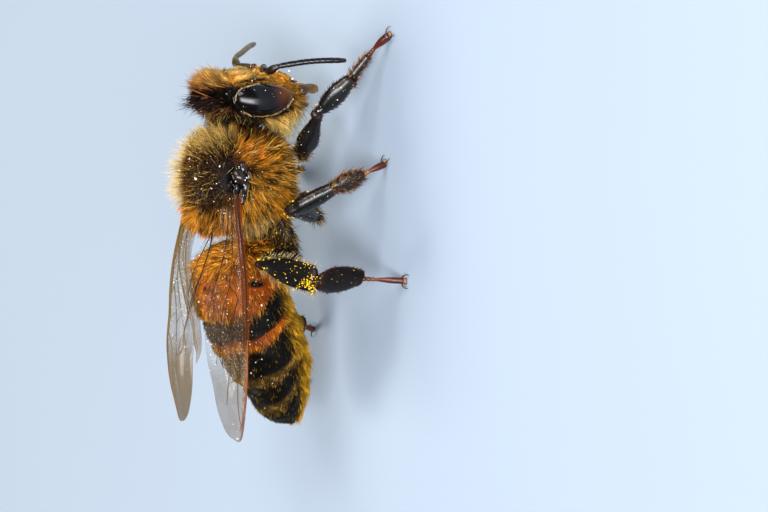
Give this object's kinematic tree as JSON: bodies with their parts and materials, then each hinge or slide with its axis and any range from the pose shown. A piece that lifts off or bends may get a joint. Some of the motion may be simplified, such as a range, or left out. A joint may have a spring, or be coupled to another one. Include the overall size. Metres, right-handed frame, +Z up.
{
  "type": "honey bee",
  "caption": "Worker honey bee with folded wings, standing on its feet with its head and feelers raised, as a still life-size model.",
  "frame": {"origin": "middle of the footprint, on the floor that the feet stand on", "axes": "+X the way the bee faces, +Y its left, +Z up"},
  "size_m": [0.0146, 0.01, 0.0066],
  "materials": {
    "head_coat": "short golden-brown hair over a black shell",
    "thorax_coat": "dense golden-brown hair over a black shell",
    "eye": "glossy black with fine facets",
    "shell": "glossy black shell",
    "mouthparts": "reddish-brown shell",
    "abdomen_amber": "amber shell under short golden hair",
    "abdomen_banded": "black and amber bands with short pale hair",
    "wing_membrane": "clear amber-tinted membrane with dark veins",
    "feeler": "satin black",
    "foot": "reddish-brown shell with fine hair",
    "leg_shell": "glossy black shell with hair fringes"
  },
  "bodies": {
    "root": {"thorax": "thorax_coat", "head": "head_coat", "neck": "head_coat", "petiole": "shell", "proboscis": "mouthparts", "abdomen_1": "abdomen_amber", "abdomen_2": "abdomen_amber", "abdomen_3": "abdomen_banded", "abdomen_4": "abdomen_banded", "abdomen_5": "abdomen_banded", "abdomen_6": "abdomen_banded", "eye_left": "eye", "tegula_left": "shell", "mandible_left": "mouthparts", "forewing_left": "wing_membrane", "hindwing_left": "wing_membrane", "antenna_left_scape": "feeler", "antenna_left_flagellum": "feeler", "eye_right": "eye", "tegula_right": "shell", "mandible_right": "mouthparts", "forewing_right": "wing_membrane", "hindwing_right": "wing_membrane", "antenna_right_scape": "feeler", "antenna_right_flagellum": "feeler", "fore_right_coxa": "leg_shell", "fore_right_femur": "leg_shell", "fore_right_tibia": "leg_shell", "fore_right_basitarsus": "foot", "fore_right_tarsus": "foot", "fore_left_coxa": "leg_shell", "fore_left_femur": "leg_shell", "fore_left_tibia": "leg_shell", "fore_left_basitarsus": "foot", "fore_left_tarsus": "foot", "mid_right_coxa": "leg_shell", "mid_right_femur": "leg_shell", "mid_right_tibia": "leg_shell", "mid_right_basitarsus": "foot", "mid_right_tarsus": "foot", "mid_left_coxa": "leg_shell", "mid_left_femur": "leg_shell", "mid_left_tibia": "leg_shell", "mid_left_basitarsus": "foot", "mid_left_tarsus": "foot", "hind_right_coxa": "leg_shell", "hind_right_femur": "leg_shell", "hind_right_tibia": "leg_shell", "hind_right_basitarsus": "foot", "hind_right_tarsus": "foot", "hind_left_coxa": "leg_shell", "hind_left_femur": "leg_shell", "hind_left_tibia": "leg_shell", "hind_left_basitarsus": "foot", "hind_left_tarsus": "foot"}
  },
  "joints": []
}
